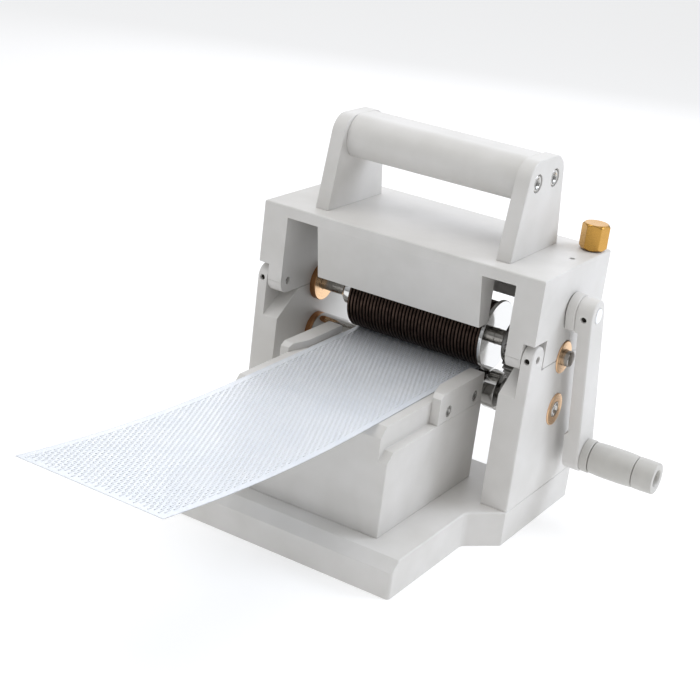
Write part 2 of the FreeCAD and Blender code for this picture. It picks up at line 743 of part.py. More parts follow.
def carrier_sheet():
    """Flat over the table and through the nip, then curving gently up in front of the table."""
    run = sheet_bend_y - sheet_front
    radius = (run * run + sheet_rise * sheet_rise) / (2 * sheet_rise)
    sweep = math.asin(run / radius)
    centre_z = sheet_bottom + radius

    def arc_point(r, angle):
        return Vector(-sheet_half, sheet_bend_y - r * math.sin(angle), centre_z - r * math.cos(angle))

    inner = radius - sheet_thickness
    top_z = sheet_bottom + sheet_thickness
    low_bend = arc_point(radius, 0)
    high_bend = arc_point(inner, 0)
    edges = [Part.makeLine(Vector(-sheet_half, sheet_rear, sheet_bottom), low_bend),
             Part.Arc(low_bend, arc_point(radius, sweep / 2), arc_point(radius, sweep)).toShape(),
             Part.makeLine(arc_point(radius, sweep), arc_point(inner, sweep)),
             Part.Arc(arc_point(inner, sweep), arc_point(inner, sweep / 2), high_bend).toShape(),
             Part.makeLine(high_bend, Vector(-sheet_half, sheet_rear, top_z)),
             Part.makeLine(Vector(-sheet_half, sheet_rear, top_z),
                           Vector(-sheet_half, sheet_rear, sheet_bottom))]
    return Part.Face(Part.Wire(edges)).extrude(Vector(2 * sheet_half, 0, 0))


# ---- write every node ---------------------------------------------------------------------------
save("base_plate", base_plate())
save("base_screws", *base_screws())
save("rubber_pads", *rubber_pads())
save("wall_right", right_wall())
save("wall_left", mirrored(right_wall()))
save("hinge_pins", hinge_pin(-1), hinge_pin(1))
save("ear_set_screws", ear_set_screw(-1), ear_set_screw(1))
for side_name, side_sign in (("left", -1), ("right", 1)):
    save("upper_bush_" + side_name, flanged_bush(upper_z, side_sign, shaft_radius + running_gap))
    save("lower_bush_" + side_name, flanged_bush(lower_z, side_sign, shaft_radius + running_gap))
save("feed_table", feed_table())
save("rail_right", right_rail())
save("rail_left", mirrored(right_rail()))
save("rail_screws", *rail_screws())

save("head", head())
save("head_set_screws", top_set_screw(-1), top_set_screw(1))
save("handle_upright_right", right_upright())
save("handle_upright_left", mirrored(right_upright()))
save("handle_bar", handle_bar())
save("handle_screws", *handle_screws())
save("handle_foot_screws", *foot_screws())
save("crank_bush", crank_bush())

save("upper_roller", ringed_roller())
save("upper_shaft", upper_shaft())
save("guide_disc", guide_disc())
save("left_collar", left_collar())
save("roller_gear", roller_gear())
save("lower_roller", lower_roller())
save("lower_gear", lower_gear())
save("lower_shaft", lower_shaft())

save("crank_shaft", crank_shaft())
save("crank_pinion", spur_gear(pinion_teeth, pinion_shaft_radius, gear_left, gear_right, crank_z, True))
save("crank_shaft_clip", shaft_clip())
save("crank_hub_pad", hub_pad())
save("crank_arm", crank_arm())
save("crank_set_screw", crank_set_screw())
save("crank_hub_plug", hub_plug())
save("grip_axle", grip_axle())
save("grip_collar", grip_ring(arm_right, collar_end, grip_axle_radius, lambda b: near(b.XMin, collar_end)))
save("grip_barrel", grip_ring(collar_end + body_gap, barrel_end, grip_axle_radius + running_gap,
                              lambda b: near(b.XMin, b.XMax)))
save("grip_cap", grip_cap())

save("knob_right", knob(1))
save("knob_left", knob(-1))
save("knob_shank_right", knob_shank(1))
save("knob_shank_left", knob_shank(-1))
save("carrier_sheet", carrier_sheet())
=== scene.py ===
import math

import bmesh
import bpy
from mathutils import Matrix, Vector


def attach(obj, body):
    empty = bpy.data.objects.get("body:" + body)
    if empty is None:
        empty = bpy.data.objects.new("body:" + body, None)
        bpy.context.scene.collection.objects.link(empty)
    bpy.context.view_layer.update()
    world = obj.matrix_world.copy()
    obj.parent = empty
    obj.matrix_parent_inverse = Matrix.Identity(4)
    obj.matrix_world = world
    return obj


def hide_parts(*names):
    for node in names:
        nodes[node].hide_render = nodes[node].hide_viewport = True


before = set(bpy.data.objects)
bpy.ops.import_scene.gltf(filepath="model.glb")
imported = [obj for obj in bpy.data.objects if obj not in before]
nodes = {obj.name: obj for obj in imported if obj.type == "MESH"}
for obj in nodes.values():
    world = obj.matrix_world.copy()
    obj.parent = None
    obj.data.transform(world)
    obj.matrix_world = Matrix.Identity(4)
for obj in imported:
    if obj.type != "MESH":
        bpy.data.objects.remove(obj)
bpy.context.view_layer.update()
scene = bpy.context.scene
mm = 0.001

# ---- studio ------------------------------------------------------------------------------------
# A plain white sweep under a large overhead softbox, with a cool key light from the crank side and
# a low one behind, which gives the level surfaces their sheen. The surroundings are darker at table
# height than overhead, as in a real studio, and the polished steel takes its dark bands from them.
scene.view_settings.view_transform = "Standard"


def linear(hex_colour):
    """Linear colour of an sRGB hex value."""
    parts = [int(hex_colour[i:i + 2], 16) / 255 for i in (1, 3, 5)]
    return tuple(c / 12.92 if c <= 0.04045 else ((c + 0.055) / 1.055) ** 2.4 for c in parts) + (1.0,)


def add(tree, kind, inputs=None, **settings):
    """Add a node. An input takes a value, an output to link, or a node, for its first output."""
    made = tree.nodes.new("ShaderNode" + kind)
    for name, value in settings.items():
        setattr(made, name, value)
    for name, value in (inputs or {}).items():
        if isinstance(value, bpy.types.Node):
            value = value.outputs[0]
        if isinstance(value, bpy.types.NodeSocket):
            tree.links.new(value, made.inputs[name])
        else:
            made.inputs[name].default_value = value
    return made


def new_material(name):
    """A material by that name with an empty tree, and its Object coordinates."""
    made = bpy.data.materials.new(name)
    made.use_nodes = True
    made.node_tree.nodes.clear()
    return made, made.node_tree, add(made.node_tree, "TexCoord").outputs["Object"]


def softbox(name, place, target, size, power, colour):
    """A square area light that faces its target. Lengths are in metres and the power in watts."""
    light = bpy.data.lights.new(name, "AREA")
    light.size = size
    light.energy = power
    light.color = linear(colour)[:3]
    lamp = bpy.data.objects.new(name, light)
    lamp.location = place
    lamp.rotation_euler = (Vector(target) - Vector(place)).to_track_quat("-Z", "Y").to_euler()
    scene.collection.objects.link(lamp)


world = bpy.data.worlds.new("studio_air")
scene.world = world
world.use_nodes = True
air = world.node_tree
air.nodes.clear()
height = add(air, "SeparateXYZ", {"Vector": add(air, "TexCoord").outputs["Generated"]}).outputs["Z"]
rise = add(air, "MapRange", {"Value": height, "From Max": 0.55})
room = add(air, "MixRGB", {"Fac": rise, "Color1": linear("#8A8B8C"), "Color2": linear("#CDCED0")})
add(air, "OutputWorld", {"Surface": add(air, "Background", {"Color": room})})

softbox("key_light", place=(0.75, 0.45, 0.62), target=(0.02, 0.0, 0.08), size=0.50, power=5.2,
        colour="#EEF4FF")
softbox("top_light", place=(-0.10, -0.20, 0.95), target=(0.0, -0.05, 0.08), size=0.80, power=3.3,
        colour="#FFFFFF")
softbox("back_light", place=(-0.40, 0.85, 0.60), target=(0.0, 0.0, 0.10), size=0.90, power=2.6,
        colour="#F6F8FF")

floor_half = 6.0            # metres each way
floor_drop = 0.1 * mm       # just clear of the base's underside
bm = bmesh.new()
bmesh.ops.create_grid(bm, x_segments=1, y_segments=1, size=floor_half)
bmesh.ops.translate(bm, verts=bm.verts, vec=(0, 0, -floor_drop))
floor_mesh = bpy.data.meshes.new("studio_floor")
bm.to_mesh(floor_mesh)
bm.free()
floor = bpy.data.objects.new("studio_floor", floor_mesh)
scene.collection.objects.link(floor)
white_sweep, tree, coords = new_material("white_sweep")
sweep = add(tree, "BsdfPrincipled", {
    "Base Color": linear("#C8C8C8"), "Roughness": 0.7, "Specular IOR Level": 0.1,
    "Emission Color": linear("#FFFFFF"), "Emission Strength": 0.50})
add(tree, "OutputMaterial", {"Surface": sweep})
floor_mesh.materials.append(white_sweep)

camera_data = bpy.data.cameras.new("camera")
camera_data.lens = 78.8
camera_data.sensor_width = 36.0
camera = bpy.data.objects.new("camera", camera_data)
scene.collection.objects.link(camera)
camera.location = (0.3474, -0.6918, 0.3638)
yaw, pitch, roll = math.radians(29.4), math.radians(21.0), math.radians(-7.3)
ahead = Vector((-math.sin(yaw) * math.cos(pitch), math.cos(yaw) * math.cos(pitch), -math.sin(pitch)))
across = ahead.cross(Vector((0, 0, 1))).normalized()
down = ahead.cross(across)
image_right = across * math.cos(roll) + down * math.sin(roll)
image_down = down * math.cos(roll) - across * math.sin(roll)
camera.rotation_mode = "QUATERNION"
camera.rotation_quaternion = Matrix((image_right, -image_down, -ahead)).transposed().to_quaternion()
scene.camera = camera

# ---- base plate --------------------------------------------------------------------------------
# A thick aluminium plate, milled to shape, bead blasted and given the light warm grey coat that the
# whole body has. The coat is satin, with a fine even grain and a very slight cloudiness.
coat_grain = 0.6 * mm       # the blasted grain is nearer 0.1 mm, drawn coarser so that it shows
coat_cloud = 25.0 * mm
broken_edge = 0.28 * mm     # every milled edge is broken before the blasting
SHARP = math.radians(28)    # an edge that turns more than this is broken
FLAT = math.radians(0.5)    # faces that turn less than this are one face
TOUCHING = 0.002 * mm       # points nearer than this are one point

coated_aluminium, tree, coords = new_material("coated_aluminium")
cloud = add(tree, "TexNoise", {"Vector": coords, "Scale": 1 / coat_cloud, "Detail": 3.0})
grain = add(tree, "TexNoise", {"Vector": coords, "Scale": 1 / coat_grain, "Detail": 2.0})
sheen = add(tree, "MapRange", {"Value": cloud, "To Min": 0.40, "To Max": 0.50})
blasted = add(tree, "Bump", {"Height": grain, "Strength": 0.35, "Distance": 0.03 * mm})
shade = add(tree, "MapRange", {"Value": cloud, "From Min": 0.35, "From Max": 0.65})
tone = add(tree, "MixRGB", {"Fac": shade, "Color1": linear("#D0CECA"), "Color2": linear("#D8D6D3")})
coat = add(tree, "BsdfPrincipled", {"Base Color": tone, "Roughness": sheen, "Normal": blasted,
                                    "IOR": 1.47})
add(tree, "OutputMaterial", {"Surface": coat})


def finished(bm, name, material, body, slot, *stands_for):
    """Make the piece's object from its mesh, riding on a body in place of the CAD nodes named."""
    mesh = bpy.data.meshes.new(name)
    bm.to_mesh(mesh)
    bm.free()
    mesh.materials.append(material)
    mesh.shade_smooth()
    made = bpy.data.objects.new(name, mesh)
    scene.collection.objects.link(made)
    made.modifiers.new("flat_faces", "WEIGHTED_NORMAL").keep_sharp = True
    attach(made, body)
    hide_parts(*stands_for)
    return made


def break_edges(bm, width, segments=2):
    """Bevel every sharp edge of the mesh."""
    sharp = [e for e in bm.edges if len(e.link_faces) == 2 and e.calc_face_angle() > SHARP]
    bmesh.ops.bevel(bm, geom=sharp, offset=width, offset_type="OFFSET", affect="EDGES",
                    segments=segments, profile=0.5, material=-1, clamp_overlap=False)


def milled(node, material, body, slot, width=broken_edge):
    """A milled part's piece: the node's solid, with its flat faces merged and its edges broken."""
    bm = bmesh.new()
    bm.from_mesh(nodes[node].data)
    bmesh.ops.remove_doubles(bm, verts=bm.verts, dist=TOUCHING)
    bmesh.ops.dissolve_limit(bm, angle_limit=FLAT, verts=bm.verts, edges=bm.edges)
    break_edges(bm, width)
    return finished(bm, node + "_milled", material, body, slot, node)


milled("base_plate", coated_aluminium, "frame", "coated_aluminium")

# ---- rubber pads -------------------------------------------------------------------------------
# Four discs of black rubber, pressed into shallow seats in the underside. Their lower faces have
# two moulded rings that grip the bench, and a matt bloom.
pad_radius, pad_depth, pad_groove, pad_shoulder = 8.0, 1.5, 0.35, 0.4           # mm
pad_places = ((-55, -112), (55, -112), (-71, 30), (71, 30))
bloom_size = 3.0 * mm
X, Y, Z = Vector((1, 0, 0)), Vector((0, 1, 0)), Vector((0, 0, 1))


def lathe(bm, profile, centre, axis, steps, ring=False):
    """Spin (along, radius) points, in mm, round an axis through the centre, which is in metres.

    A ring's profile is closed, and any other begins and ends on the axis.
    """
    out = X if axis == Z else Z
    verts = [bm.verts.new(centre + axis * (a * mm) + out * (r * mm)) for a, r in profile]
    ends = verts[1:] + verts[:1] if ring else verts[1:]
    edges = [bm.edges.new(pair) for pair in zip(verts, ends)]
    bmesh.ops.spin(bm, geom=verts + edges, cent=centre, axis=axis, angle=2 * math.pi, steps=steps,
                   use_merge=True)
    bmesh.ops.remove_doubles(bm, verts=bm.verts, dist=TOUCHING)
    bmesh.ops.recalc_face_normals(bm, faces=bm.faces)


pad_rubber, tree, coords = new_material("moulded_black_rubber")
bloom = add(tree, "TexNoise", {"Vector": coords, "Scale": 1 / bloom_size, "Detail": 4.0})
tone = add(tree, "MixRGB", {"Fac": bloom, "Color1": linear("#161616"), "Color2": linear("#30302F")})
skin = add(tree, "Bump", {"Height": bloom, "Strength": 0.3, "Distance": 0.1 * mm})
rubber = add(tree, "BsdfPrincipled", {"Base Color": tone, "Roughness": 0.8, "Normal": skin})
add(tree, "OutputMaterial", {"Surface": rubber})

pad_rings = [(pad_groove, 0.0), (pad_groove, 0.30 * pad_radius), (0.0, 0.38 * pad_radius),
             (0.0, 0.50 * pad_radius), (pad_groove, 0.58 * pad_radius), (pad_groove, 0.74 * pad_radius),
             (0.0, 0.82 * pad_radius), (0.0, 0.94 * pad_radius), (pad_shoulder, pad_radius),
             (pad_depth, pad_radius), (pad_depth, 0.0)]
bm = bmesh.new()
for x, y in pad_places:
    lathe(bm, pad_rings, Vector((x, y, 0)) * mm, Z, 48)
finished(bm, "rubber_pads_moulded", pad_rubber, "frame", "pad_rubber", "rubber_pads")

# ---- base screws -------------------------------------------------------------------------------
# Socket head cap screws of stainless steel, which hold the walls and the feed table from below.
# The heads are cold forged and turned, with a bright chamfer round the rim and a pressed hexagon.
smear_size = 6.0 * mm
SCREW_SIDES = 24
RIM = math.radians(80)      # only the rims of a new cylinder turn more than this
base_screw_places = [(x, y) for x in (-74.5, 74.5) for y in (-26, 14)]
base_screw_places += [(x, y) for x in (-28, 28) for y in (-92, -36)]
base_screw_face = 1.2       # mm above the underside


def turned_metal(name, colour, roughness, centre, axis=X, mark=0.3 * mm, depth=0.02 * mm, smear=0.12):
    """A metal cut on a lathe: fine rings round its axis, as the tool leaves them, and faint smears.

    A real cut leaves its marks under 0.1 mm apart. They are drawn coarser so that they show.
    """
    made, tree, coords = new_material(name)
    offset = add(tree, "VectorMath", {0: coords, 1: centre}, operation="SUBTRACT")
    along = add(tree, "VectorMath", {0: offset, 1: axis}, operation="DOT_PRODUCT").outputs["Value"]
    across = Vector((1, 1, 1)) - axis
    out = add(tree, "VectorMath", {0: offset, 1: across}, operation="MULTIPLY")
    radius = add(tree, "VectorMath", {0: out}, operation="LENGTH").outputs["Value"]
    cut = add(tree, "Math", {0: along, 1: radius}, operation="ADD")
    rings = add(tree, "TexNoise", {"W": cut, "Scale": 1 / mark, "Detail": 2.0},
                noise_dimensions="1D")
    smears = add(tree, "TexNoise", {"Vector": coords, "Scale": 1 / smear_size, "Detail": 4.0})
    both = add(tree, "Math", {0: rings, 1: smears}, operation="ADD")
    gloss = add(tree, "MapRange", {"Value": both, "From Min": 0.7, "From Max": 1.3,
                                   "To Min": roughness * 0.8, "To Max": roughness + smear})
    tool = add(tree, "Bump", {"Height": rings, "Strength": 0.25, "Distance": depth})
    metal = add(tree, "BsdfPrincipled", {"Base Color": linear(colour), "Metallic": 1.0,
                                         "Roughness": gloss, "Normal": tool})
    add(tree, "OutputMaterial", {"Surface": metal})
    return made


def hex_socket(bm, before, out, key, depth):
    """Press a hexagon socket into the outermost face that the screw has along out."""
    cap = max((f for f in bm.faces if f not in before), key=lambda f: f.calc_center_median().dot(out))
    middle = cap.calc_center_median()
    radius = (cap.verts[0].co - middle).length
    bmesh.ops.inset_individual(bm, faces=[cap], thickness=radius - key / math.sqrt(3))
    start = (cap.verts[0].co - middle).normalized()
    for v in cap.verts:
        turn = start.angle((v.co - middle).normalized(), 0.0) % (math.pi / 3)
        v.co = middle + (v.co - middle).normalized() * key / 2 / math.cos(turn - math.pi / 6)
    sunk = bmesh.ops.extrude_discrete_faces(bm, faces=[cap])["faces"][0]
    bmesh.ops.translate(bm, verts=sunk.verts, vec=-out * depth)


def screw_blank(bm, top, out, radius, length, rim, segments):
    """Make a cylinder with bevelled rims, its outer face round top. Gives the faces of before it."""
    before = set(bm.faces)
    place = Matrix.Translation(top) @ out.to_track_quat("Z", "Y").to_matrix().to_4x4()
    bmesh.ops.create_cone(bm, cap_ends=True, segments=SCREW_SIDES, radius1=radius, radius2=radius,
                          depth=length, matrix=place @ Matrix.Translation((0, 0, -length / 2)))
    rims = {e for f in bm.faces if f not in before for e in f.edges if e.calc_face_angle() > RIM}
    bmesh.ops.bevel(bm, geom=list(rims), offset=rim, offset_type="OFFSET", affect="EDGES",
                    segments=segments, profile=0.5, material=-1, clamp_overlap=False)
    return before


def socket_screw(bm, top, out, radius, length, shank, reach, key):
    """A cap screw: top is the middle of its head's face, and reach its length under the head."""
    rim = radius * 0.1
    before = screw_blank(bm, top, out, radius, length, rim, 2)
    seat = min((f for f in bm.faces if f not in before), key=lambda f: f.calc_center_median().dot(out))
    bmesh.ops.inset_individual(bm, faces=[seat], thickness=radius - rim - shank)
    tip = bmesh.ops.extrude_discrete_faces(bm, faces=[seat])["faces"][0]
    bmesh.ops.translate(bm, verts=tip.verts, vec=-out * reach)
    hex_socket(bm, before, out, key, depth=length * 0.55)


def grub_screw(bm, top, out, radius, length):
    """A set screw: a headless screw with a hexagon socket."""
    before = screw_blank(bm, top, out, radius, length, radius * 0.12, 1)
    hex_socket(bm, before, out, key=radius, depth=length * 0.5)


screw_steel = turned_metal("stainless_screw_steel", "#B9B8B5", 0.22, Vector((0, 0, 0)), Z)
bm = bmesh.new()
for x, y in base_screw_places:
    socket_screw(bm, Vector((x, y, base_screw_face)) * mm, -Z, radius=4.25 * mm, length=4.8 * mm,
                 shank=2.5 * mm, reach=25 * mm, key=3.65 * mm)
finished(bm, "base_screws_forged", screw_steel, "frame", "screw_steel", "base_screws")

# ---- side walls --------------------------------------------------------------------------------
# Two milled aluminium walls with round ears for the head's hinge, coated as the base is. A ground
# steel pin is pressed into each ear from inside, and a black set screw in the ear's edge holds it.
pin_y, pin_z, pin_radius, pin_inner, pin_outer = -33.0, 100.5, 2.0, 67.8, 80.8  # mm
ear_screw_x, ear_screw_y = 79.0, -38.4
scuff_size = 1.5 * mm
pin_centre = Vector((0, pin_y * mm, pin_z * mm))
for side in ("left", "right"):
    milled("wall_" + side, coated_aluminium, "frame", "coated_aluminium")

ground_steel = turned_metal("ground_pin_steel", "#B4B1AC", 0.24, pin_centre)
black_steel, tree, coords = new_material("blackened_screw_steel")
scuffs = add(tree, "TexNoise", {"Vector": coords, "Scale": 1 / scuff_size, "Detail": 3.0})
rubbed = add(tree, "MapRange", {"Value": scuffs, "From Min": 0.4, "From Max": 0.7})
tone = add(tree, "MixRGB", {"Fac": rubbed, "Color1": linear("#262422"), "Color2": linear("#45413D")})
oxide = add(tree, "BsdfPrincipled", {"Base Color": tone, "Metallic": 1.0, "Roughness": 0.42})
add(tree, "OutputMaterial", {"Surface": oxide})

bm = bmesh.new()
for side in (-1, 1):
    low, high = sorted((side * pin_inner, side * pin_outer))
    lathe(bm, [(low, 0.0), (low, pin_radius), (high, pin_radius), (high, 0.0)], pin_centre, X, 32)
break_edges(bm, 0.3 * mm)
finished(bm, "hinge_pins_ground", ground_steel, "frame", "ground_steel", "hinge_pins")

bm = bmesh.new()
for side in (-1, 1):
    grub_screw(bm, Vector((side * ear_screw_x, ear_screw_y, pin_z)) * mm, -Y, radius=1.5 * mm,
               length=3.4 * mm)
finished(bm, "ear_set_screws_black", black_steel, "frame", "dark_screw_steel", "ear_set_screws")

# ---- bronze bushes -----------------------------------------------------------------------------
# Flanged plain bearings of cast bronze, turned all over and pressed through the walls. They run the
# two roller shafts. The faces are bright from the lathe; painted shade darkens the flange's rim.
upper_axis, lower_axis = Vector((0, 0, 93.4 * mm)), Vector((0, 0, 64.4 * mm))
bush_bore, bush_radius, flange_radius = 4.25, 8.6, 10.5                         # mm
bush_inner, bush_shoulder, bush_outer = 63.5, 67.0, 82.6                        # mm from the middle
bush_steps = ((bush_inner, bush_bore), (bush_inner, flange_radius), (bush_shoulder, flange_radius),
              (bush_shoulder, bush_radius), (bush_outer, bush_radius), (bush_outer, bush_bore))
# radii over which painted shade darkens the flange's rim to brown
rim_shade_inner, rim_shade_outer = 10.0 * mm, 10.6 * mm
bush_mark = 0.35 * mm       # the tool's marks, drawn coarser than they are so that they show


def bearing_bronze(name, centre):
    """Turned bronze: pinkish gold, with painted shade darkening it to brown at the flange's rim."""
    made, tree, coords = new_material(name)
    offset = add(tree, "VectorMath", {0: coords, 1: centre}, operation="SUBTRACT")
    out = add(tree, "VectorMath", {0: offset, 1: (0, 1, 1)}, operation="MULTIPLY")
    radius = add(tree, "VectorMath", {0: out}, operation="LENGTH").outputs["Value"]
    rings = add(tree, "TexNoise", {"W": radius, "Scale": 1 / bush_mark, "Detail": 2.0},
                noise_dimensions="1D")
    # painted shade: the flange's rim is darkened from the bright face colour to brown
    painted_rim_shade = add(tree, "MapRange", {"Value": radius, "From Min": rim_shade_inner, "From Max": rim_shade_outer})
    gloss = add(tree, "MapRange", {"Value": rings, "To Min": 0.20, "To Max": 0.36})
    tool = add(tree, "Bump", {"Height": rings, "Strength": 0.25, "Distance": 0.02 * mm})
    tone = add(tree, "MixRGB", {"Fac": painted_rim_shade, "Color1": linear("#F3CBA0"), "Color2": linear("#9A6234")})
    bronze = add(tree, "BsdfPrincipled", {"Base Color": tone, "Metallic": 1.0, "Roughness": gloss,
                                          "Normal": tool})
    add(tree, "OutputMaterial", {"Surface": bronze})
    return made


for level, axis in (("upper", upper_axis), ("lower", lower_axis)):
    bronze = bearing_bronze("turned_bronze_" + level, axis)
    for side, sign in (("left", -1), ("right", 1)):
        bm = bmesh.new()
        lathe(bm, [(sign * x, r) for x, r in bush_steps], axis, X, 72, ring=True)
        break_edges(bm, 0.35 * mm)
        finished(bm, f"{level}_bush_{side}_turned", bronze, "frame", "bearing_bronze",
                 f"{level}_bush_{side}")

# ---- feed table and rails ----------------------------------------------------------------------
# A solid aluminium block with stepped edges, and two rails screwed to its sides whose lips keep the
# sheet in line. Their screws are small stainless ones, sunk flush.
rail_screw_x, rail_screw_z = 47.6, 68.0
milled("feed_table", coated_aluminium, "frame", "coated_aluminium")
for side in ("left", "right"):
    milled("rail_" + side, coated_aluminium, "frame", "coated_aluminium", 0.3 * mm)

bm = bmesh.new()
for side in (-1, 1):
    for y in (-53.0, -24.5):
        socket_screw(bm, Vector((side * rail_screw_x, y, rail_screw_z)) * mm, X * side,
                     radius=2.75 * mm, length=2.8 * mm, shank=1.5 * mm, reach=9.8 * mm, key=2.4 * mm)
finished(bm, "rail_screws_forged", screw_steel, "frame", "screw_steel", "rail_screws")

# ---- lower roller ------------------------------------------------------------------------------
# A hardened steel roller, ground and chromed to a mirror, with a groove for the guide disc. It is
# pressed on its shaft beside a 22-tooth gear, and a hexagon socket in the shaft's end takes a key.
shaft_radius, shaft_end = 4.2, 82.6                                             # mm
lower_left, lower_right, lower_radius = -63.0, 51.5, 10.6
groove_left, groove_right, groove_radius = 41.5, 44.5, 9.3
lower_steps = ((lower_left, shaft_radius), (lower_left, lower_radius), (groove_left, lower_radius),
               (groove_left, groove_radius), (groove_right, groove_radius),
               (groove_right, lower_radius), (lower_right, lower_radius), (lower_right, shaft_radius))
ALONG = 0.99                # the least share of X in the normal of a face across the shaft
chrome = turned_metal("chromed_roller_steel", "#D6D5D3", 0.06, lower_axis, mark=0.8 * mm,
                      depth=0.004 * mm, smear=0.05)
bm = bmesh.new()
lathe(bm, lower_steps, lower_axis, X, 96, ring=True)
break_edges(bm, 0.35 * mm)
finished(bm, "lower_roller_chromed", chrome, "lower_roller_assembly", "polished_steel", "lower_roller")

lower_steel = turned_metal("ground_lower_shaft", "#BDBAB5", 0.18, lower_axis)
bm = bmesh.new()
lathe(bm, ((-shaft_end, 0), (-shaft_end, shaft_radius), (shaft_end, shaft_radius), (shaft_end, 0)),
      lower_axis, X, 48)
for sign in (-1, 1):
    bmesh.ops.dissolve_faces(bm, faces=[f for f in bm.faces if f.normal.x * sign > ALONG])
break_edges(bm, 0.4 * mm)
hex_socket(bm, set(), X, key=4.0 * mm, depth=3.0 * mm)
finished(bm, "lower_shaft_ground", lower_steel, "lower_roller_assembly", "ground_steel", "lower_shaft")

tooth_edge = 0.12 * mm      # a gear's edges are only brushed, so they are broken less
gear_steel = turned_metal("hobbed_gear_steel", "#8F8D8A", 0.30, upper_axis, mark=0.4 * mm)
milled("lower_gear", gear_steel, "lower_roller_assembly", "gear_steel", tooth_edge)

# ---- upper roller ------------------------------------------------------------------------------
# The cutting roller: blackened steel turned into narrow rings. The crests are painted lighter brown,
# partly as random wear and partly as a painted highlight, and the grooves darker as painted shade.
# A chromed guide disc and a stepped collar stand at its ends, on one ground shaft.
roller_left, roller_right, roller_radius = -38.0, 42.0, 17.6                    # mm
ring_pitch, ring_width, ring_depth = 2.0, 1.1, 0.8
crest_edge, crest_drop, flank = 0.15, 0.12, 0.12
root_radius = roller_radius - ring_depth
ring_count = round((roller_right - roller_left) / ring_pitch)
wear_size = 2.5 * mm
upper_shaft_right = 86.5
disc_right, disc_radius = 44.0, 19.2
collar_steps = ((-48.0, shaft_radius), (-48.0, 6.6), (-46.6, 7.8), (-42.0, 7.8), (-41.6, 7.2),
                (-40.6, 7.2), (-40.2, 7.8), (roller_left, 7.8), (roller_left, shaft_radius))

ringed_steel, tree, coords = new_material("blackened_ringed_steel")
offset = add(tree, "VectorMath", {0: coords, 1: upper_axis}, operation="SUBTRACT")
out = add(tree, "VectorMath", {0: offset, 1: (0, 1, 1)}, operation="MULTIPLY")
radius = add(tree, "VectorMath", {0: out}, operation="LENGTH").outputs["Value"]
# painted highlight on the ring crests and painted shade in the grooves, by radius, mixed with random wear
highlight_and_groove_shade = add(tree, "MapRange", {"Value": radius, "From Min": root_radius * mm,
                               "From Max": roller_radius * mm})
wear = add(tree, "TexNoise", {"Vector": coords, "Scale": 1 / wear_size, "Detail": 4.0})
worn_and_highlit = add(tree, "Math", {0: highlight_and_groove_shade, 1: wear}, operation="MULTIPLY")
gloss = add(tree, "MapRange", {"Value": wear, "To Min": 0.24, "To Max": 0.44})
wear_and_highlight_mix = add(tree, "MapRange", {"Value": worn_and_highlit, "From Min": 0.1, "From Max": 0.6})
tone = add(tree, "MixRGB", {"Fac": wear_and_highlight_mix, "Color1": linear("#15100E"), "Color2": linear("#574840")})
oxide = add(tree, "BsdfPrincipled", {"Base Color": tone, "Metallic": 1.0, "Roughness": gloss})
add(tree, "OutputMaterial", {"Surface": oxide})

profile = [(roller_left, shaft_radius)]
for ring in range(ring_count):
    start = roller_left + ring * ring_pitch
    end = start + ring_width
    profile += [(start, roller_radius - crest_drop), (start + crest_edge, roller_radius),
                (end - crest_edge, roller_radius), (end, roller_radius - crest_drop),
                (end + flank, root_radius), (start + ring_pitch - flank, root_radius)]
profile[-1] = (roller_right, root_radius)      # the last groove runs out to the roller's end
profile += [(roller_right, shaft_radius)]
bm = bmesh.new()
lathe(bm, profile, upper_axis, X, 96, ring=True)
finished(bm, "upper_roller_rings", ringed_steel, "upper_roller_assembly", "black_oxide_steel",
         "upper_roller")

upper_steel = turned_metal("ground_upper_shaft", "#A9A6A1", 0.20, upper_axis)
bm = bmesh.new()
lathe(bm, ((-shaft_end, 0), (-shaft_end, shaft_radius), (upper_shaft_right, shaft_radius),
           (upper_shaft_right, 0)), upper_axis, X, 48)
break_edges(bm, 0.5 * mm)
finished(bm, "upper_shaft_ground", upper_steel, "upper_roller_assembly", "ground_steel", "upper_shaft")

disc_chrome = turned_metal("chromed_disc_steel", "#E2E2E1", 0.07, upper_axis, mark=0.5 * mm,
                           depth=0.004 * mm, smear=0.05)
bm = bmesh.new()
lathe(bm, ((roller_right, shaft_radius), (roller_right, disc_radius), (disc_right, disc_radius),
           (disc_right, shaft_radius)), upper_axis, X, 128, ring=True)
break_edges(bm, 0.4 * mm)
finished(bm, "guide_disc_chromed", disc_chrome, "upper_roller_assembly", "polished_steel", "guide_disc")

bm = bmesh.new()
lathe(bm, collar_steps, upper_axis, X, 72, ring=True)
break_edges(bm, 0.25 * mm)
finished(bm, "left_collar_turned", disc_chrome, "upper_roller_assembly", "polished_steel", "left_collar")
milled("roller_gear", gear_steel, "upper_roller_assembly", "gear_steel", tooth_edge)

# ---- head --------------------------------------------------------------------------------------
# The hinged head: one milled aluminium bridge with a leaning front apron between two windows. It is
# coated as the base is. Two small set screws are sunk in its top, near the knobs.
head_screw_x, head_screw_y, head_screw_z = 74.5, 7.0, 141.2                     # mm
milled("head", coated_aluminium, "head", "coated_aluminium")
bm = bmesh.new()
for side in (-1, 1):
    grub_screw(bm, Vector((side * head_screw_x, head_screw_y, head_screw_z)) * mm, Z,
               radius=1.5 * mm, length=4.2 * mm)
finished(bm, "head_set_screws_black", black_steel, "head", "dark_screw_steel", "head_set_screws")

# ---- carry handle ------------------------------------------------------------------------------
# Two tapered aluminium plates and a thick rounded bar between them, all coated. Four stainless cap
# screws sit in deep counterbores in the plates, and four more come up from inside the head.
bar_y, bar_z, bar_screw_x, bar_screw_gap = -2.0, 180.8, 57.1, 9.85              # mm
foot_screw_x, foot_screw_z = 53.5, 136.9
for part in ("handle_upright_left", "handle_upright_right", "handle_bar"):
    milled(part, coated_aluminium, "head", "coated_aluminium")

